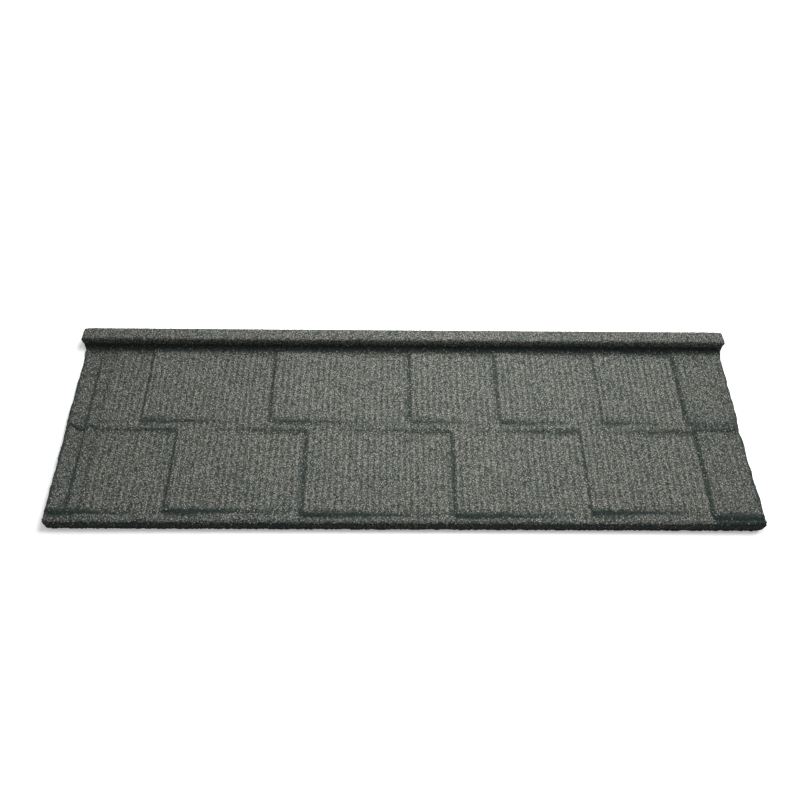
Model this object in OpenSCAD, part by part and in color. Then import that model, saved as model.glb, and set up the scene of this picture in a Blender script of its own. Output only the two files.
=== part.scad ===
// Stone coated steel roofing sheet with a shingle pattern.
// Two courses of shingle tabs are pressed into one steel sheet, between a nose that turns
// down at the eave side and an upstand with a rounded bead at the ridge side.
// The sheet lies as it would on a level floor: on the lower rim of its nose and on the
// lowest corners at the foot of its upstand.

/* [Sheet] */
// Width of the sheet, along the eave
sheet_w = 1340; // [1000:10:1650]
// Thickness of the steel with its coat of stone chips
sheet_t = 2.2; // [1.6:0.1:3]
// Depth of the panel, from the nose to the foot of the upstand
panel_d = 388; // [320:1:470]

/* [Nose] */
// Drop of the nose below the panel
nose_drop = 29; // [22:1:40]
// Outer radius of the bend between the panel and the nose
nose_r = 9; // [5:0.5:12]
// Distance from the nose to the front of the lower course
nose_strip = 21.5; // [18:0.5:28]
// Flare of the nose's right end, which spread when the sheet was folded
nose_flare = 3.5; // [0:0.5:6]
// Size of the cut at the lower corners of the nose
nose_corner = 6; // [2:0.5:9]

/* [Upstand and bead] */
// Height of the bead above the panel
bead_h = 34; // [30:1:42]
// Depth of the bead, front to back
bead_d = 33; // [28:1:44]
// Fall of the bead's crown from its near edge to its far edge
crown_fall = 3; // [0:0.5:5]
// Outer radius of the bead's near edge
bead_near_r = 5; // [3:0.5:7]
// Outer radius of the bead's far edge
bead_far_r = 9; // [6:0.5:11]
// Radius of the bend at the foot of the upstand
foot_r = 12; // [6:0.5:16]
// Angle that the upstand leans back by
upstand_lean = 0; // [0:1:12]
// Height of the lip that hangs from the far edge of the bead
bead_lip = 8; // [2:1:14]
// Fall of the bead's crown at its two ends
bead_end_fall = 2.5; // [0:0.5:4]
// Length that the crown falls over at its ends
bead_end_run = 14; // [8:1:30]

/* [Shingle tabs] */
// Height of a step between two tabs
step_h = 3.6; // [2:0.1:4.5]
// Run of the slope at a tab's side
side_run = 6; // [4:0.5:9]
// Run of the slope at a tab's front
front_run = 6; // [4:0.5:8]
// Distance from the nose to the back of the lower course
lower_back = 198; // [160:1:220]
// Depth of the strip between the two courses
mid_strip = 18; // [16:1:34]
// Widths of the upper course's tabs, in proportion to each other
upper_tabs = [107, 257, 277, 180.5, 204.5, 171];
// Widths of the lower course's tabs, in proportion to each other
lower_tabs = [183, 254, 288, 254, 230];
// Setbacks of the lower course's fronts, from left to right, as shares of the run of a front slope
lower_setbacks = [0, 0.5, -0.45, -0.7, 0.6, -1];

/* [Ribs] */
// Number of fine ribs that imitate riven grain, over the width of the sheet
rib_count = 112; // [80:1:130]
// Width of a fine groove
groove_w = 4.6; // [2.5:0.1:6]
// Depth of a fine groove
groove_d = 0.9; // [0.3:0.1:1.1]

/* [Side laps] */
// Distance from the left edge to the first drain groove of the underlap
drain_x = 38; // [32:1:48]
// Distance between the two drain grooves
drain_gap = 24; // [18:1:34]
// Width of a drain groove
drain_w = 7; // [5:0.5:10]
// Depth of a drain groove
drain_d = 1.4; // [0.8:0.1:1.6]
// Width of the overlap at the right, beside the upper course
upper_lap = 105; // [80:0.5:130]
// Width of the overlap at the right, beside the lower course
lower_lap = 93; // [70:0.5:120]
// Width that one sheet laps over the next
side_lap = 50; // [35:1:60]
// Extra height of the overlap, which makes room for the next sheet's underlap
lap_rise = 1.4; // [0.5:0.1:2.2]
// Reach of the zigzag where the underlap's ribs meet the strip between the courses
tooth_reach = 9; // [4:0.5:10]
// Fall of the sheet's left and right edges
edge_fall = 2.5; // [1:0.5:4]
// Width of the band that the left and right edges fall over
edge_run = 7; // [5:0.5:10]
// Dent of the right edge beside the strip between the courses
edge_dent = 3; // [0:0.5:5]

/* [Hidden] */
// Flats that a bend is drawn with
bend_steps = 8;
foot_steps = 5;
// Two columns of points stay at least this far apart.
least_gap = 0.3;
// A row of the nose's bend this close to the panel's level is part of the panel.
least_flat = 0.01;
upper_front = lower_back + mid_strip;
groove_pitch = sheet_w / rib_count;

// Places of the lines between tabs, from the widths of the tabs.
function sum_to(v, n) = n <= 0 ? 0 : v[n - 1] + sum_to(v, n - 1);
function tab_lines(widths, lap) =
    let (span = sheet_w - lap - drain_x, total = sum_to(widths, len(widths)))
    [for (i = [1:len(widths)]) drain_x + span * sum_to(widths, i) / total];
upper_lines = tab_lines(upper_tabs, upper_lap);
lower_lines = tab_lines(lower_tabs, lower_lap);

// Level of a tab's near edge at x: a tab falls from its left side to its right side.
// The first and the last tab are the two halves of one, which the next sheet completes.
function level(x, lines, lap) =
    let (
        part = lap - side_lap + lines[0],
        n = len(lines),
        i = len([for (l = lines) if (l <= x) l]),
        left = i == 0 ? lines[0] - part : lines[i - 1],
        right = i == 0 ? lines[0] : i == n ? left + part : lines[i]
    )
    step_h * (1 - (x - left) / (right - left));

// Columns of the pressed surface from left to right: tab lines, drain grooves, fine grooves.
all_lines = concat(upper_lines, lower_lines);
drains = [drain_x, drain_x + drain_gap];
drain_rib = drain_x + drain_gap / 2;
drain_end = drains[1] + drain_w / 2;
function near(x, marks, gap) = len([for (m = marks) if (abs(x - m) < gap) m]) > 0;
line_gap = (side_run + groove_w) / 2 + least_gap;
groove_from = ceil((drain_end + groove_w / 2 + least_gap) / groove_pitch);
groove_to = floor((sheet_w - edge_run - groove_w) / groove_pitch);
grooves = [
    for (k = [groove_from:groove_to])
        if (!near(k * groove_pitch, all_lines, line_gap)) k * groove_pitch
];
function sorted(v) = len(v) < 2 ? v : let (m = v[floor(len(v) / 2)])
    concat(
        sorted([for (x = v) if (x < m) x]),
        [m],
        sorted([for (x = v) if (x > m) x])
    );
line_columns = [for (l = all_lines) each [l - side_run / 2, l + side_run / 2]];
edge_columns = [0, edge_run, sheet_w - edge_run, sheet_w];
drain_columns = concat([drain_rib], [for (x = drains) each [x - drain_w / 2, x, x + drain_w / 2]]);
groove_columns = [for (x = grooves) each [x - groove_w / 2, x, x + groove_w / 2]];
back_columns = sorted(concat(edge_columns, line_columns, drain_columns));
face_columns = sorted(concat(edge_columns, line_columns, drain_columns, groove_columns));

// Depth of the surface below the tabs' planes at x, on the face and on the back.
function notch(x, marks, w, d) = max([for (m = marks) d * max(0, 1 - 2 * abs(x - m) / w)]);
function edge_drop(x) = edge_fall * max(0, 1 - min(x, sheet_w - x) / edge_run);
function pressed(x) = notch(x, drains, drain_w, drain_d) + edge_drop(x);
function embossed(x) = pressed(x) + notch(x, grooves, groove_w, groove_d);

// Across the underlap the strip between the courses starts at a zigzag, around the ends of the drain ribs.
function zigzag(x) = lookup(x, [
    [0, 0], [edge_run, tooth_reach], [drains[0], -tooth_reach], [drain_rib, tooth_reach],
    [drains[1], -tooth_reach], [drain_end, 0]
]);

// Each tab of the lower course has its front at its own place. None reaches the bend of the nose.
function setback(x) =
    let (i = len([for (l = lower_lines) if (l <= x) l]), room = nose_strip - front_run - nose_r - least_gap)
    max(-room, lower_setbacks[i] * front_run);

// Rows of the panel from the nose to the foot of the upstand:
// [distance from the nose, course, share of the tabs' level, share of their fall, share of the grooves, share of
//  the overlap's rise, share of the zigzag, share of the setbacks, share of the dent]
LOWER = 0;
UPPER = 1;
courses = [[lower_lines, lower_lap], [upper_lines, upper_lap]];
foot_turn = 90 - upstand_lean;
foot_c = [panel_d - foot_r * tan(foot_turn / 2), foot_r];
rows = [
    [nose_strip - front_run, LOWER, 0, 0, 0, 0, 0, 1, 0],
    [nose_strip, LOWER, 1, 0, 1, 1, 0, 1, 0],
    [lower_back - front_run, LOWER, 1, 1, 1, 1, 1, 0, 0],
    [lower_back, LOWER, 0, 0, 1, 1, 1, 0, 1],
    [upper_front - front_run, UPPER, 0, 0, 1, 1, 0, 0, 1],
    [upper_front, UPPER, 1, 0, 1, 1, 0, 0, 0],
    [foot_c[0] - front_run, UPPER, 1, 1, 1, 1, 0, 0, 0],
    [foot_c[0], UPPER, 1, 1, 0, 1, 0, 0, 0]
];
FOOT = len(rows) - 1;
function row_level(r, x) =
    let (c = courses[r[1]], lap_line = c[0][len(c[0]) - 1])
    r[2] * level(x, c[0], c[1]) - r[3] * step_h + (x > lap_line ? r[5] * lap_rise : 0);
function row_place(r, x) = r[0] + r[6] * zigzag(x) + r[7] * setback(x);
// Each slope lies between a pair of rows. The back of a slope moves by this much to keep the thickness.
function back_shift(i, x) =
    let (a = rows[i - i % 2], b = rows[i - i % 2 + 1], rise = row_level(b, x) - row_level(a, x))
    sheet_t * tan(atan(rise / front_run) / 2);
function dented(r, x) = x - (x == sheet_w ? r[8] * edge_dent : 0);
function face_point(i, x) =
    let (r = rows[i])
    [dented(r, x), row_place(r, x), row_level(r, x) - r[4] * embossed(x)];
function back_point(i, x) =
    let (r = rows[i])
    [dented(r, x), row_place(r, x) + back_shift(i, x), row_level(r, x) - r[4] * pressed(x) - sheet_t];

// The foot of the upstand is a bend that starts on the tabs' levels and ends straight.
function foot_rows(t) = [
    for (i = [1:foot_steps])
        let (a = foot_turn * i / foot_steps - 90, r = foot_r + t)
        [for (x = back_columns) [
            x,
            foot_c[0] + r * cos(a),
            foot_c[1] + r * sin(a) + (1 - i / foot_steps) * row_level(rows[FOOT], x)
        ]]
];

// A bend about the point [y, z], from one direction to another, as [radius, centre, from, to].
function bend(r, c, a0, a1) =
    [for (i = [0:bend_steps]) let (a = a0 + (a1 - a0) * i / bend_steps) [c[0] + r * cos(a), c[1] + r * sin(a)]];

// The nose: a short drop and one bend, which ends in a level row. The bead: two bends and a lip.
nose_c = [nose_r, -nose_r];
near_z = bead_h - bead_near_r;
near_s = (near_z + bead_near_r * sin(upstand_lean)) / cos(upstand_lean);
near_c = [panel_d + near_s * sin(upstand_lean) + bead_near_r * cos(upstand_lean), near_z];
far_c = [panel_d + bead_d - bead_far_r, bead_h - crown_fall - bead_far_r];
span = far_c - near_c;
crown_dir = atan2(span[1], span[0]) + acos((bead_near_r - bead_far_r) / norm(span));
function nose_rows(t, columns) = concat(
    [[[nose_corner, t, -nose_drop], [sheet_w + nose_flare - nose_corner, t, -nose_drop]]],
    [for (p = concat([[t, nose_corner - nose_drop]], bend(nose_r - t, nose_c, 180, 90)))
        if (p[1] < -t - least_flat) [for (x = [0, sheet_w + nose_flare]) [x, p[0], p[1]]]],
    [[for (x = columns) [x, nose_r, -t]]]
);
function bead_path(t) = concat(
    bend(bead_near_r - t, near_c, 180 - upstand_lean, crown_dir),
    bend(bead_far_r - t, far_c, crown_dir, 0),
    [[far_c[0] + bead_far_r - t, far_c[1] - bead_lip]]
);
bead_columns = [0, bead_end_run, sheet_w - bead_end_run, sheet_w];
function bead_rows(t) = [
    for (p = bead_path(t)) [
        for (x = bead_columns)
            let (low_end = x == 0 || x == sheet_w)
            [x, p[0], p[1] * (low_end ? 1 - bead_end_fall / bead_h : 1)]
    ]
];

face_rows = concat(
    nose_rows(0, face_columns),
    [for (i = [0:FOOT]) [for (x = face_columns) face_point(i, x)]],
    foot_rows(0),
    bead_rows(0)
);
back_rows = concat(
    nose_rows(sheet_t, back_columns),
    [for (i = [0:FOOT]) [for (x = back_columns) back_point(i, x)]],
    foot_rows(sheet_t),
    bead_rows(sheet_t)
);

// Every row's first point has this number in the list of all points.
function starts(v, from) = [for (i = 0, n = from; i < len(v); n = n + len(v[i]), i = i + 1) n];
face_start = starts(face_rows, 0);
back_start = starts(back_rows, sum_to([for (r = face_rows) len(r)], len(face_rows)));

// The triangles between two rows whose points lie at any places along x: each step goes on along the row
// whose next point comes first.
function goes_on(a, i, b, j) = j == len(b) - 1 || (i < len(a) - 1 && a[i + 1][0] < b[j + 1][0]);
function band(a, a_start, b, b_start) = [
    for (k = 0, i = 0; k < len(a) + len(b) - 2; i = i + (goes_on(a, i, b, k - i) ? 1 : 0), k = k + 1)
        let (j = k - i, here = a_start + i, there = b_start + j)
        [here, there, goes_on(a, i, b, j) ? here + 1 : there + 1]
];
function turned(faces) = [for (f = faces) [for (i = [len(f) - 1:-1:0]) f[i]]];
function last(v, s, i) = s[i] + len(v[i]) - 1;
function halves(q) = [[q[0], q[1], q[2]], [q[0], q[2], q[3]]];

module pressed_sheet() {
    n = len(face_rows);
    face = [for (i = [0:n - 2])
        each band(face_rows[i], face_start[i], face_rows[i + 1], face_start[i + 1])];
    back = [for (i = [0:n - 2])
        each turned(band(back_rows[i], back_start[i], back_rows[i + 1], back_start[i + 1]))];
    left = [for (i = [0:n - 2])
        each halves([face_start[i + 1], face_start[i], back_start[i], back_start[i + 1]])];
    right = [for (i = [0:n - 2]) each halves([
        last(face_rows, face_start, i), last(face_rows, face_start, i + 1),
        last(back_rows, back_start, i + 1), last(back_rows, back_start, i)
    ])];
    rim = concat(
        turned(band(face_rows[0], face_start[0], back_rows[0], back_start[0])),
        band(face_rows[n - 1], face_start[n - 1], back_rows[n - 1], back_start[n - 1])
    );
    polyhedron(
        points = concat([for (r = face_rows) each r], [for (r = back_rows) each r]),
        faces = concat(face, back, left, right, rim),
        convexity = 12
    );
}

// The sheet rests on the inner edge of its nose's rim and on the lowest point near the panel's foot.
front_rest = [sheet_t, -nose_drop];
rest_tilt = min([
    for (i = [FOOT - 1, FOOT], x = back_columns)
        let (p = back_point(i, x)) atan2(p[2] - front_rest[1], p[1] - front_rest[0])
]);
// Distance of a point from the front rest along the floor
function along_floor(p) =
    (p[1] - front_rest[0]) * cos(rest_tilt) + (p[2] - front_rest[1]) * sin(rest_tilt);
reach = [for (r = face_rows) along_floor(r[0])];

module roofing_sheet() {
    color("dimgray")
        translate([0, -(min(reach) + max(reach)) / 2, 0])
            rotate([-rest_tilt, 0, 0])
                translate([-(sheet_w + nose_flare) / 2, -front_rest[0], -front_rest[1]])
                    pressed_sheet();
}

roofing_sheet();
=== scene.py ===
import math

import bpy
import numpy as np
from mathutils import Matrix, Vector


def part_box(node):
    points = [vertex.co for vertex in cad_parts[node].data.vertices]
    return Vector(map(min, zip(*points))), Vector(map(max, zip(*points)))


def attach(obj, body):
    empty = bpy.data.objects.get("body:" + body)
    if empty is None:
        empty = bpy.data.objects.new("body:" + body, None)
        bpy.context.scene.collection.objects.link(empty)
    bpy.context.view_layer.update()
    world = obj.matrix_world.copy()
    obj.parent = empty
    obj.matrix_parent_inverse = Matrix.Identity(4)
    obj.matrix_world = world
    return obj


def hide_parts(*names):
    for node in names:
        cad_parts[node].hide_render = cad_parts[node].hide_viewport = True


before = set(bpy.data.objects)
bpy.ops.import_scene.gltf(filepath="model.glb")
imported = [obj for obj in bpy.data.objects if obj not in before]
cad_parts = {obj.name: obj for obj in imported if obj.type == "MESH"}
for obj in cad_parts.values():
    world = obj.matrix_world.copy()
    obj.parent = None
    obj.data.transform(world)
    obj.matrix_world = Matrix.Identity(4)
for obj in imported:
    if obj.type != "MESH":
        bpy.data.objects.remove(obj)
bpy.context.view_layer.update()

# Pressed sheet.
# One blank of 0.45 mm zinc-aluminium coated steel, pressed into two courses of tilted shingle tabs and
# folded at the front into a nose and at the back into a bead. Its face is coated with stone chips in a
# black acrylic binder, which makes the whole about 2.2 mm thick.
MM = 0.001
sheet_w = 1340 * MM
sheet_t = 2.2 * MM
panel_d = 388 * MM
nose_drop = 29 * MM
nose_r = 9 * MM
nose_strip = 21.5 * MM
nose_corner = 6 * MM
bead_h = 34 * MM
bead_d = 33 * MM
crown_fall = 3 * MM
near_r = 5 * MM
far_r = 9 * MM
foot_r = 12 * MM
bead_lip = 8 * MM
bead_end_fall = 2.5 * MM
bead_end_run = 14 * MM
rest_tilt = math.radians(3.55748)
step_h = 3.6 * MM
slope_run = 6 * MM
lower_back = 198 * MM
upper_front = 216 * MM
first_drain = 38 * MM
second_drain = 62 * MM
upper_tab_widths = (107, 257, 277, 180.5, 204.5, 171)
lower_tab_widths = (183, 254, 288, 254, 230)
lower_setbacks = (0, 0.5, -0.45, -0.7, 0.6, -1)
upper_lap = 105 * MM
lower_lap = 93 * MM
side_lap = 50 * MM
rib_count = 112
rib_w = sheet_w / rib_count
rib_columns = 4
groove_d = 0.9 * MM
drain_d = 1.4 * MM
edge_fall = 2.5 * MM
edge_run = 7 * MM
lap_rise = 1.4 * MM
tooth_reach = 9 * MM
tab_row = 10 * MM
chip_rise = 0.5 * MM


def bend(centre, r, start, end, flats):
    """Points of a bend about a centre in the sheet's end view, after its first point."""
    angles = np.radians(np.linspace(start, end, flats + 1)[1:])
    return [(centre[0] + r * math.cos(a), centre[1] + r * math.sin(a)) for a in angles]


def flat(start, end, longest):
    """Points along a flat stretch of the end view, after its first point, no further apart than longest."""
    start, end = np.array(start), np.array(end)
    parts = max(1, math.ceil(np.linalg.norm(end - start) / longest - 1e-6))
    return [tuple(start + (end - start) * k / parts) for k in range(1, parts + 1)]


# The end view of the face, from the rim of the nose over the panel to the lip of the bead
foot_y = panel_d - foot_r
near_c = np.array([panel_d + near_r, bead_h - near_r])
far_c = np.array([panel_d + bead_d - far_r, bead_h - crown_fall - far_r])
span = far_c - near_c
crown_dir = math.degrees(math.atan2(span[1], span[0]) + math.acos((near_r - far_r) / np.linalg.norm(span)))
foot_flats = 6

section = [(0.0, -nose_drop)]
section += flat(section[-1], (0, -nose_r), 7 * MM)
section += bend((nose_r, -nose_r), nose_r, 180, 90, 8)
for y, longest in (
    (nose_strip - slope_run, 7 * MM),
    (nose_strip, slope_run / 2),
    (lower_back - slope_run, tab_row),
    (lower_back, slope_run / 2),
    (upper_front - slope_run, slope_run),
    (upper_front, slope_run / 2),
    (foot_y, tab_row),
):
    section += flat(section[-1], (y, 0), longest)
section += bend((foot_y, foot_r), foot_r, -90, 0, foot_flats)
section += flat(section[-1], (panel_d, bead_h - near_r), 6 * MM)
section += bend(near_c, near_r, 180, crown_dir, 7)
crown_out = np.array([math.cos(math.radians(crown_dir)), math.sin(math.radians(crown_dir))])
section += flat(section[-1], far_c + far_r * crown_out, 6 * MM)
section += bend(far_c, far_r, crown_dir, 0, 9)
section += flat(section[-1], (section[-1][0], far_c[1] - bead_lip), 5 * MM)

# A strip one rib wide is drawn up along the end view, and repeated over the sheet's width.
bpy.ops.object.select_all(action="DESELECT")
first, second = Vector((0, *section[0])), Vector((0, *section[1]))
bpy.ops.mesh.primitive_grid_add(x_subdivisions=rib_columns, y_subdivisions=1, size=1, rotation=(math.pi / 2, 0, 0))
sheet = bpy.context.object
sheet.name = "coated_sheet"
sheet.scale = (rib_w, (second - first).length, 1)
sheet.location = (rib_w / 2, 0, (first.z + second.z) / 2)
bpy.ops.object.transform_apply(location=True, rotation=True, scale=True)
bpy.ops.object.mode_set(mode="EDIT")
bpy.ops.mesh.select_mode(type="VERT")
bpy.ops.mesh.select_all(action="DESELECT")
bpy.ops.object.mode_set(mode="OBJECT")
for v in sheet.data.vertices:
    v.select = v.co.z > second.z - 1e-6
bpy.ops.object.mode_set(mode="EDIT")
for here, there in zip(section[1:], section[2:]):
    step = (0, there[0] - here[0], there[1] - here[1])
    bpy.ops.mesh.extrude_region_move(TRANSFORM_OT_translate={"value": step})
bpy.ops.object.mode_set(mode="OBJECT")
repeat = sheet.modifiers.new("repeat", "ARRAY")
repeat.count = rib_count
repeat.use_relative_offset = False
repeat.use_constant_offset = True
repeat.constant_offset_displace = (rib_w, 0, 0)
repeat.use_merge_vertices = True
repeat.merge_threshold = 0.01 * MM
bpy.ops.object.modifier_apply(modifier="repeat")


def places():
    """Where the sheet's vertices are, as an array."""
    found = np.zeros(len(sheet.data.vertices) * 3)
    sheet.data.vertices.foreach_get("co", found)
    return found.reshape(-1, 3)


def select(chosen):
    """Selects the chosen vertices of the sheet in edit mode."""
    bpy.ops.object.mode_set(mode="EDIT")
    bpy.ops.mesh.select_all(action="DESELECT")
    bpy.ops.object.mode_set(mode="OBJECT")
    sheet.data.vertices.foreach_set("select", chosen)
    bpy.ops.object.mode_set(mode="EDIT")


# Each tab is tilted about its middle, so that it falls from its left to its right and from its
# front to its back. Its near left corner then stands up by a step, and its far right one lies as deep.
def tab_lines(widths, lap):
    span = sheet_w - lap - first_drain
    return [first_drain + span * sum(widths[: i + 1]) / sum(widths) for i in range(len(widths))]


blank = places()
x, y = blank[:, 0], blank[:, 1]
level_part = (np.abs(blank[:, 2]) < 1e-6) & (y > nose_strip - slope_run - 1e-6)
column = rib_w / rib_columns
half_run = slope_run / 2
strips = (y < nose_strip - slope_run / 2 - 1e-6) | ((y > lower_back - 1e-6) & (y < upper_front - slope_run + 1e-6))
slopes = level_part & ~strips
upper_lines = tab_lines(upper_tab_widths, upper_lap)
lower_lines = tab_lines(lower_tab_widths, lower_lap)
for lines, lap, y0, y1 in (
    (upper_lines, upper_lap, upper_front, foot_y),
    (lower_lines, lower_lap, nose_strip, lower_back - slope_run),
):
    part = lap - side_lap + lines[0]
    starts = [lines[0] - part] + lines
    ends = lines + [lines[-1] + part]
    course = level_part & (y > y0 - 1e-6) & (y < y1 + 1e-6)
    for left, right in zip(starts, ends):
        inside = course & (x > left + half_run - column / 2) & (x < right - half_run + column / 2)
        slopes &= ~inside
        middle = Vector(((left + right) / 2, (y0 + y1) / 2, 0))
        select(inside)
        bpy.ops.transform.rotate(
            value=-math.atan(step_h / (right - left)), orient_axis="Y", center_override=middle
        )
        bpy.ops.transform.rotate(
            value=math.atan(step_h / (y1 - y0)), orient_axis="X", center_override=middle
        )

# The overlap at the right stands higher by the thickness of the sheet that it covers.
lap_line = np.where(y > (lower_back + upper_front) / 2, upper_lines[-1], lower_lines[-1])
select(level_part & (x > lap_line) & (y > nose_strip - slope_run / 2))
bpy.ops.transform.translate(value=(0, 0, lap_rise))

# The slopes between the tabs settle to a soft bend.
select(slopes)
bpy.ops.mesh.vertices_smooth(factor=1, repeat=3, xaxis=False, yaxis=False, zaxis=True)
select(level_part)
bpy.ops.mesh.vertices_smooth(factor=0.3, repeat=1, xaxis=False, yaxis=False, zaxis=True)

# Fine ribs imitate riven grain: every fourth column of the mesh sinks to a groove.
on_face = level_part & (y > nose_strip - slope_run / 2) & (y < foot_y - 1e-6)
rib_from = math.ceil((second_drain + 6 * MM) / rib_w) * rib_w
off_groove = np.abs(x - np.round(x / rib_w) * rib_w)
grooved = on_face & (off_groove < column / 2) & (x > rib_from - column) & (x < sheet_w - edge_run)
select(grooved)
bpy.ops.transform.translate(value=(0, 0, -groove_d))

# Drain grooves and the rolled-down edges of the laps
for middle in (first_drain, second_drain):
    select(on_face & (np.abs(x - middle) < column * 0.51))
    bpy.ops.transform.translate(value=(0, 0, -drain_d))
to_edge = np.minimum(x, sheet_w - x)
for share, within in ((0.55, column * 0.5), (0.3, column * 1.5), (0.15, column * 2.5)):
    select(on_face & (to_edge < within))
    bpy.ops.transform.translate(value=(0, 0, -edge_fall * share))
bpy.ops.object.mode_set(mode="OBJECT")


def slide(name, axis, reach, share):
    """Moves the sheet's vertices along an axis by their shares of a reach."""
    for part, sign in ((np.maximum(share, 0), 1), (np.maximum(-share, 0), -1)):
        group = sheet.vertex_groups.new(name=name)
        for i in np.flatnonzero(part > 1e-4):
            group.add([int(i)], float(part[i]), "REPLACE")
        push = sheet.modifiers.new(name, "DISPLACE")
        push.direction = axis
        push.strength = sign * reach
        push.mid_level = 0
        push.vertex_group = group.name
        bpy.ops.object.modifier_apply(modifier=name)
        sheet.vertex_groups.clear()


# The bend at the foot of the upstand starts on the tabs' levels and ends straight.
z = blank[:, 2]
in_foot = (y > foot_y + 1e-6) & (y < panel_d + 1e-6) & (z < foot_r + 1e-6)
foot_row = np.flatnonzero(level_part & (y > foot_y - 1e-6))
foot_row = foot_row[np.argsort(x[foot_row])]
foot_level = np.interp(x, x[foot_row], places()[foot_row, 2]) / step_h
foot_angle = np.arctan2(np.clip(y - foot_y, 0, None), foot_r - z)
slide("foot", "Z", step_h, foot_level * in_foot * (1 - foot_angle / (math.pi / 2)))

# In both laps the strip between the courses lies level with the front of the upper course, so that the
# step falls at the back of the lower course.
lap_ends = (x < second_drain) | (x > lower_lines[-1] + half_run)
strip = level_part & (y > lower_back - 1e-6) & (y < upper_front - 1e-6)
front_row = np.flatnonzero(level_part & (np.abs(y - upper_front) < 1e-6))
front_row = front_row[np.argsort(x[front_row])]
front_level = np.interp(x, x[front_row], places()[front_row, 2])
slide("joined", "Z", step_h, (front_level - places()[:, 2]) / step_h * (strip & lap_ends & ~grooved))

# On the underlap the strip between the courses starts at a zigzag, round the ends of the drain ribs.
turns = (0, edge_run, first_drain, (first_drain + second_drain) / 2, second_drain, second_drain + 4 * MM)
zigzag = np.interp(x, turns, (0, 1, -1, 1, -1, 0))
near_strip = np.interp(
    y,
    (lower_back - 50 * MM, lower_back - slope_run, lower_back, upper_front - slope_run),
    (0, 1, 1, 0),
)
slide("zigzag", "Y", tooth_reach, zigzag * near_strip * level_part)

# Each tab of the lower course has its front at its own place.
tab_number = np.searchsorted(lower_lines, x)
near_front = np.interp(y, (nose_r, nose_strip - slope_run, nose_strip, nose_strip + 3 * tab_row), (0, 1, 1, 0))
slide("front", "Y", slope_run, np.array(lower_setbacks)[tab_number] * near_front * level_part)

# The nose's right end is spread, its lower corners are rounded off, the right edge has a dent beside the
# strip between the courses, and the bead's ends are beaten down a little.
right_end = np.interp(x, (sheet_w - 24 * MM, sheet_w), (0, 1))
spread = np.interp(y, (0, 20 * MM, 60 * MM, 110 * MM), (1, 0.85, 0.4, 0))
slide("spread", "X", 3.5 * MM, right_end * spread)
dent = np.interp(y, (lower_back - 16 * MM, lower_back, upper_front - slope_run, upper_front + 12 * MM), (0, 1, 1, 0))
slide("dent", "X", -3 * MM, right_end * dent * level_part)
rim = (y < 1e-6) & (z < 1e-6 - nose_drop)
from_end = np.minimum(x, sheet_w - x)
slide("corner", "Z", nose_corner, rim * np.interp(from_end, (0, 3 * MM, 6 * MM), (1, 0.35, 0)))
bead_end = np.interp(from_end, (0, 0.4 * bead_end_run, bead_end_run), (1, 0.4, 0))
slide("bead_end", "Z", -bead_end_fall, bead_end * (y > panel_d - 1e-6) * np.clip(z / bead_h, 0, 1))

# Stray chips hang on the rim of the nose and on both ends, and roughen the outline.
stray = np.random.default_rng(5).uniform(-1, 1, len(x))
slide("ragged_rim", "Y", -2 * MM, np.abs(stray) * rim)
slide("ragged_ends", "X", 1 * MM, stray * (to_edge < 1e-6))

# Painted shade: this attribute darkens the coat towards its black binder and thins the chips where the face
# slopes, in the grooves and drains, near both ends, on the laps, on the front strip and nose, and under the bead.
facing = np.zeros(len(x) * 3, np.float32)
sheet.data.vertex_normals.foreach_get("vector", facing)
slant = np.degrees(np.arccos(np.clip(np.abs(facing.reshape(-1, 3)[:, 2]), 0, 1)))
bare = np.interp(slant, (4, 15), (0, 0.8)) * level_part
in_overlap = x > lower_lines[-1] + half_run
# Painted shade on the face under the bead, darkest from 5 to 12 mm up
wall_shade = np.interp(z, (0, 1.5 * MM, 5 * MM, 12 * MM, 18 * MM, 23 * MM), (0.35, 0.8, 1, 1, 0.5, 0.15))
for spot, share in (
    (grooved, 0.6),
    (on_face & (np.abs(x - first_drain) < column * 0.51), 1.0),
    (on_face & (np.abs(x - second_drain) < column * 0.51), 0.6),
    # Painted shade: the left part of the face is darkened as a whole
    (level_part & (x < rib_from - column), 0.38),
    (level_part & in_overlap, 0.3),
    (level_part, np.interp(to_edge, (4 * MM, 11 * MM), (0.8, 0))),
    (y < nose_strip - half_run - 1e-6, 0.4),
    (in_overlap & (y < nose_strip - 1e-6), 0.95),
    (level_part & (y < nose_strip + 1e-6), np.interp(slant, (3, 10), (0, 1))),
    (y < nose_strip, 0.8 * np.interp(slant, (30, 60), (0, 1))),
    ((y > foot_y) & (y < panel_d + 1e-6), wall_shade),
    (y > panel_d + 1e-6, 0.4),
):
    bare = np.maximum(bare, spot * share)
sheet.data.attributes.new("bare", "FLOAT", "POINT").data.foreach_set("value", bare.astype(np.float32))

# Thickness, and the way the sheet lies: on the rim of its nose and on the foot of its upstand
binder = sheet.modifiers.new("binder", "DISPLACE")
binder.strength = -chip_rise
binder.mid_level = 0
bpy.ops.object.modifier_apply(modifier="binder")
for _ in ("face", "underside"):
    sheet.data.materials.append(None)
wall = sheet.modifiers.new("wall", "SOLIDIFY")
wall.thickness = sheet_t - chip_rise
wall.offset = -1
wall.use_even_offset = True
wall.material_offset = 1
wall.material_offset_rim = 0
bpy.ops.object.modifier_apply(modifier="wall")
sheet.rotation_euler = (-rest_tilt, 0, 0)
bpy.ops.object.transform_apply(location=True, rotation=True, scale=True)
low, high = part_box("roofing_sheet")
own = places()
sheet.location = (
    (low.x + high.x) / 2 - (own[:, 0].min() + own[:, 0].max()) / 2,
    high.y - own[:, 1].max(),
    low.z - own[:, 2].min(),
)
bpy.ops.object.transform_apply(location=True, rotation=True, scale=True)
bpy.ops.object.shade_smooth_by_angle(angle=math.radians(50))


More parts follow.
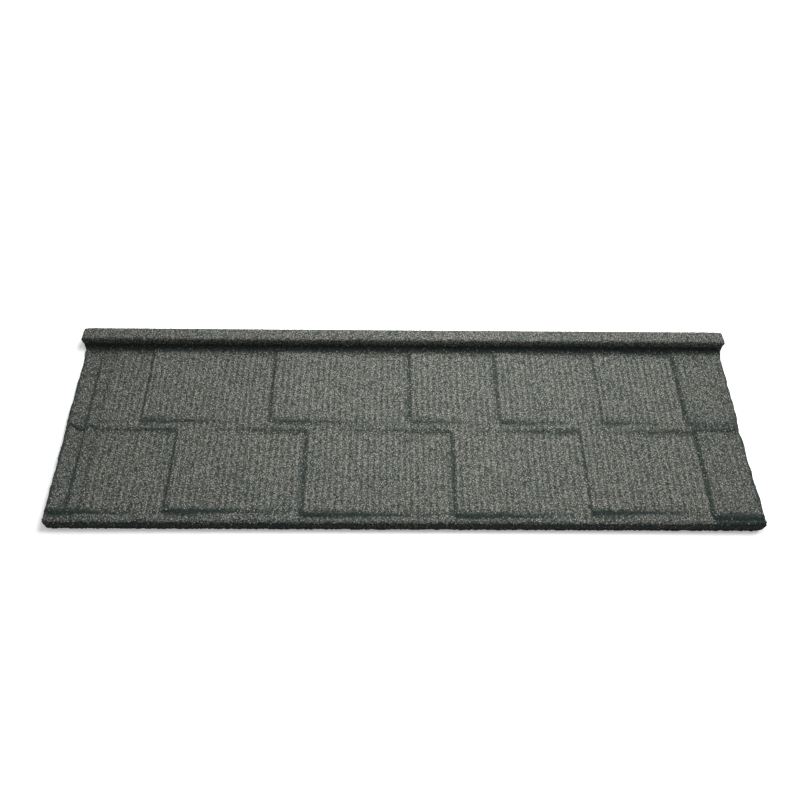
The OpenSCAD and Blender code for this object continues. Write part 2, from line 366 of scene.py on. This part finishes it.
def linear(code):
    """A hex sRGB colour as Blender's linear colour."""
    parts = [int(code[i : i + 2], 16) / 255 for i in (1, 3, 5)]
    return [c / 12.92 if c <= 0.04045 else ((c + 0.055) / 1.055) ** 2.4 for c in parts] + [1.0]


def add(tree, kind, inputs=(), **settings):
    """Adds a node with its settings, and sets or links its inputs."""
    node = tree.nodes.new(kind)
    for key, value in settings.items():
        setattr(node, key, value)
    for socket, value in dict(inputs).items():
        if isinstance(value, bpy.types.NodeSocket):
            tree.links.new(value, node.inputs[socket])
        else:
            node.inputs[socket].default_value = value
    return node


def ramp(node, stops):
    """Sets the stops of a colour ramp, as (place, hex colour)."""
    band = node.color_ramp
    while len(band.elements) > 1:
        band.elements.remove(band.elements[-1])
    band.elements[0].position, band.elements[0].color = stops[0][0], linear(stops[0][1])
    for place, code in stops[1:]:
        band.elements.new(place).color = linear(code)
    return node


# Stone chip coat: basalt and slate chips of 1 to 2 mm, dropped on a wet black acrylic binder and sealed
# with a matt clear coat. The eye sees a dull dark grey speckle with a few pale chips, and no gloss.
chip_size = 1.9 * MM
coat = bpy.data.materials.new("stone_chips_in_acrylic_binder")
coat.use_nodes = True
tree = coat.node_tree
tree.nodes.clear()
place = add(tree, "ShaderNodeTexCoord").outputs["Object"]
cells = add(tree, "ShaderNodeTexVoronoi", {"Vector": place, "Scale": 1 / chip_size, "Randomness": 1.0})
tone = add(tree, "ShaderNodeSeparateColor", {"Color": cells.outputs["Color"]})
chips = ramp(
    add(tree, "ShaderNodeValToRGB", {"Fac": tone.outputs["Red"]}),
    ((0.0, "#1b2120"), (0.25, "#383c3a"), (0.5, "#4f514e"), (0.75, "#696965"), (1.0, "#888781")),
)
clouds = add(tree, "ShaderNodeTexNoise", {"Vector": place, "Scale": 1 / (60 * MM), "Detail": 3.0})
tint = ramp(
    add(tree, "ShaderNodeValToRGB", {"Fac": clouds.outputs["Fac"]}),
    ((0.3, "#eaeeeb"), (0.5, "#f4f3f1"), (0.7, "#f8f5ef")),
)
tinted = add(tree, "ShaderNodeMix", {0: 1.0, 6: chips.outputs["Color"], 7: tint.outputs["Color"]},
             data_type="RGBA", blend_type="MULTIPLY")
# Painted shade: the shade attribute mixes the chip colour towards a near-black green, up to 85 percent
painted_shade_read = add(tree, "ShaderNodeAttribute", attribute_name="bare")
share = add(tree, "ShaderNodeMath", {0: painted_shade_read.outputs["Fac"], 1: 0.85}, operation="MULTIPLY")
colour = add(tree, "ShaderNodeMix", {0: share.outputs[0], 6: tinted.outputs[2], 7: linear("#0f1f1d")},
             data_type="RGBA")
bumps = add(
    tree,
    "ShaderNodeBump",
    {"Height": cells.outputs["Distance"], "Strength": 0.5, "Distance": 0.5 * MM},
    invert=True,
)
shader = add(
    tree,
    "ShaderNodeBsdfPrincipled",
    {"Base Color": colour.outputs[2], "Roughness": 0.85, "Specular IOR Level": 0.1, "Normal": bumps.outputs["Normal"]},
)
add(tree, "ShaderNodeOutputMaterial", {"Surface": shader.outputs["BSDF"]})

# Wash coat on the underside: a thin grey-green primer over the zinc-aluminium coated steel.
# The eye sees an even, satin grey with no chips.
primer = bpy.data.materials.new("wash_coat_on_galvalume")
primer.use_nodes = True
under = primer.node_tree.nodes["Principled BSDF"]
under.inputs["Base Color"].default_value = linear("#7d8580")
under.inputs["Metallic"].default_value = 0.35
under.inputs["Roughness"].default_value = 0.5

sheet.data.materials[0] = coat
sheet.data.materials[1] = primer
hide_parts("roofing_sheet")
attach(sheet, "root")

# Stone chips.
# Crushed basalt and slate, 1 to 3 mm across, dropped on the wet binder and pressed in to half their height.
# The chips that stand proud are meshes of their own, in four tones, and they roughen the sheet's outline.
chip_radii = Vector((1.6, 1.25, 0.65)) * MM
chip_gap = 3.5 * MM
coat_area = sum(f.area for f in sheet.data.polygons if f.material_index == 0)
for number, (tone_name, code, most, kept) in enumerate(
    (
        ("dark", "#1c2625", 16500, 0.9),
        ("slate", "#484b48", 25500, 0.4),
        ("grey", "#767570", 40000, 0.05),
        ("pale", "#979690", 41000, 0.02),
    ),
    start=1,
):
    bpy.ops.object.select_all(action="DESELECT")
    bpy.ops.mesh.primitive_uv_sphere_add(segments=4, ring_count=2, radius=1)
    chip = bpy.context.object
    chip.name = tone_name + "_chips"
    chip.scale = chip_radii
    bpy.ops.object.transform_apply(location=True, rotation=True, scale=True)
    stone = bpy.data.materials.new("crushed_stone_" + tone_name)
    stone.use_nodes = True
    surface = stone.node_tree.nodes["Principled BSDF"]
    surface.inputs["Base Color"].default_value = linear(code)
    surface.inputs["Roughness"].default_value = 0.85
    surface.inputs["Specular IOR Level"].default_value = 0.1
    chip.data.materials.append(stone)
    scatter = bpy.data.node_groups.new("scatter_" + tone_name, "GeometryNodeTree")
    scatter.interface.new_socket("Geometry", in_out="INPUT", socket_type="NodeSocketGeometry")
    scatter.interface.new_socket("Geometry", in_out="OUTPUT", socket_type="NodeSocketGeometry")
    source = add(scatter, "NodeGroupInput")
    ground = add(scatter, "GeometryNodeObjectInfo", {"Object": sheet})
    coated = add(scatter, "GeometryNodeMaterialSelection", {"Material": coat})
    spot = add(scatter, "ShaderNodeSeparateXYZ", {"Vector": add(scatter, "GeometryNodeInputPosition").outputs[0]})
    above = add(scatter, "FunctionNodeCompare", {0: spot.outputs["Z"], 1: low.z + 1.9 * MM}, operation="GREATER_THAN")
    # Painted shade: fewer chips are laid where the shade attribute is high, the pale ones most of all
    painted_shade_input = add(scatter, "GeometryNodeInputNamedAttribute", {"Name": "bare"}, data_type="FLOAT")
    density = add(
        scatter,
        "ShaderNodeMapRange",
        {"Value": painted_shade_input.outputs[0], "To Min": 1.0, "To Max": kept},
    )
    spots = add(
        scatter,
        "GeometryNodeDistributePointsOnFaces",
        {
            "Mesh": ground.outputs["Geometry"],
            "Selection": coated.outputs[0],
            "Distance Min": chip_gap,
            "Density Max": most / coat_area,
            "Density Factor": density.outputs[0],
            "Seed": number,
        },
        distribute_method="POISSON",
    )
    tumble = add(
        scatter,
        "FunctionNodeRandomValue",
        {0: (-0.6, -0.6, 0.0), 1: (0.6, 0.6, 6.28), "Seed": number},
        data_type="FLOAT_VECTOR",
    )
    grade = add(scatter, "FunctionNodeRandomValue", {2: 0.6, 3: 1.15, "Seed": 10 + number}, data_type="FLOAT")
    lie = add(
        scatter,
        "FunctionNodeRotateRotation",
        {"Rotation": spots.outputs["Rotation"], "Rotate By": tumble.outputs[0]},
        rotation_space="LOCAL",
    )
    laid = add(
        scatter,
        "GeometryNodeInstanceOnPoints",
        {
            "Points": spots.outputs["Points"],
            "Selection": above.outputs[0],
            "Instance": source.outputs[0],
            "Rotation": lie.outputs[0],
            "Scale": grade.outputs[1],
        },
    )
    real = add(scatter, "GeometryNodeRealizeInstances", {"Geometry": laid.outputs[0]})
    add(scatter, "NodeGroupOutput", {0: real.outputs[0]})
    chip.modifiers.new("scatter", "NODES").node_group = scatter
    bpy.ops.object.modifier_apply(modifier="scatter")
    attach(chip, "root")

# Floor.
# A plain pale floor, level with the lowest points of the sheet. It is scenery and no part of the object.
bpy.ops.object.select_all(action="DESELECT")
bpy.ops.mesh.primitive_plane_add(size=30, location=(0, 0, low.z))
floor = bpy.context.object
floor.name = "floor"
pale = bpy.data.materials.new("pale_floor")
pale.use_nodes = True
pale.node_tree.nodes["Principled BSDF"].inputs["Roughness"].default_value = 0.9
look = add(pale.node_tree, "ShaderNodeLightPath").outputs
look = add(pale.node_tree, "ShaderNodeMath", {0: look["Is Camera Ray"], 1: look["Is Glossy Ray"]}, operation="MAXIMUM")
paint = add(
    pale.node_tree,
    "ShaderNodeMix",
    {0: look.outputs[0], 6: linear("#505050"), 7: linear("#ffffff")},
    data_type="RGBA",
)
glow = add(pale.node_tree, "ShaderNodeMath", {0: look.outputs[0], 1: 0.25}, operation="MULTIPLY")
pale.node_tree.nodes["Principled BSDF"].inputs["Emission Color"].default_value = linear("#ffffff")
pale.node_tree.links.new(glow.outputs[0], pale.node_tree.nodes["Principled BSDF"].inputs["Emission Strength"])
pale.node_tree.links.new(paint.outputs[2], pale.node_tree.nodes["Principled BSDF"].inputs["Base Color"])
floor.data.materials.append(pale)

# Light.
# A soft sun from above, behind and right of the sheet, a soft box over its right half, and a pale sky that
# is dimmer towards the camera, so that the nose and the face under the bead lie in shade.
sun_data = bpy.data.lights.new("soft_sun", "SUN")
sun_data.angle = math.radians(30)
sun_data.energy = 1.45
sun = bpy.data.objects.new("soft_sun", sun_data)
sun.rotation_euler = Vector((0.6, 0.45, 0.75)).to_track_quat("Z", "Y").to_euler()
bpy.context.scene.collection.objects.link(sun)
box_data = bpy.data.lights.new("soft_box", "AREA")
box_data.size = 0.8
box_data.energy = 19.5
box = bpy.data.objects.new("soft_box", box_data)
box.location = (0.18, 0.42, 0.95)
box.rotation_euler = Vector((0.1, 0.3, 1.0)).to_track_quat("Z", "Y").to_euler()
bpy.context.scene.collection.objects.link(box)
sky = bpy.data.worlds.new("sky")
bpy.context.scene.world = sky
sky.use_nodes = True
tree = sky.node_tree
tree.nodes.clear()
rays = add(tree, "ShaderNodeLightPath").outputs
seen = add(tree, "ShaderNodeMath", {0: rays["Is Camera Ray"], 1: rays["Is Glossy Ray"]}, operation="MAXIMUM")
seen = add(tree, "ShaderNodeMath", {0: seen.outputs[0], 1: rays["Is Transmission Ray"]}, operation="MAXIMUM")
way = add(tree, "ShaderNodeSeparateXYZ", {"Vector": add(tree, "ShaderNodeTexCoord").outputs["Generated"]})
dome = add(tree, "ShaderNodeMapRange", {"Value": way.outputs["Y"], "From Min": -1.0, "To Min": 0.12, "To Max": 0.55})
strength = add(tree, "ShaderNodeMix", {0: seen.outputs[0], 2: dome.outputs[0], 3: 1.0})
air = add(tree, "ShaderNodeBackground", {"Color": (1, 1, 1, 1), "Strength": strength.outputs[0]})
add(tree, "ShaderNodeOutputWorld", {"Surface": air.outputs[0]})

# Camera.
# It stands where the photograph was taken from, given from the near left corner of the panel.
camera_place = Vector((643.0, -469.7, 1267.6)) * MM
pitch, yaw, roll = math.radians(59.884), math.radians(-1.348), math.radians(1.503)
level_right = Vector((math.cos(yaw), math.sin(yaw), 0))
level_up = Vector((-math.sin(yaw) * math.sin(pitch), math.cos(yaw) * math.sin(pitch), math.cos(pitch)))
forward = Vector((-math.sin(yaw) * math.cos(pitch), math.cos(yaw) * math.cos(pitch), -math.sin(pitch)))
right_dir = math.cos(roll) * level_right + math.sin(roll) * level_up
up_dir = -math.sin(roll) * level_right + math.cos(roll) * level_up
turn = Matrix.Rotation(-rest_tilt, 4, "X")
stand = Matrix((right_dir, up_dir, -forward)).transposed().to_4x4()
stand.translation = camera_place
rim = Vector((0, sheet_t, -nose_drop))
rim_on_floor = Vector((low.x, low.y + sheet_t * math.cos(rest_tilt), low.z))
camera_data = bpy.data.cameras.new("camera")
camera_data.sensor_width = 36
camera_data.lens = 36 * 721.3 / 800
camera = bpy.data.objects.new("camera", camera_data)
camera.matrix_world = Matrix.Translation(rim_on_floor) @ turn @ Matrix.Translation(-rim) @ stand
bpy.context.scene.collection.objects.link(camera)
bpy.context.scene.camera = camera
bpy.context.scene.view_settings.view_transform = "Standard"
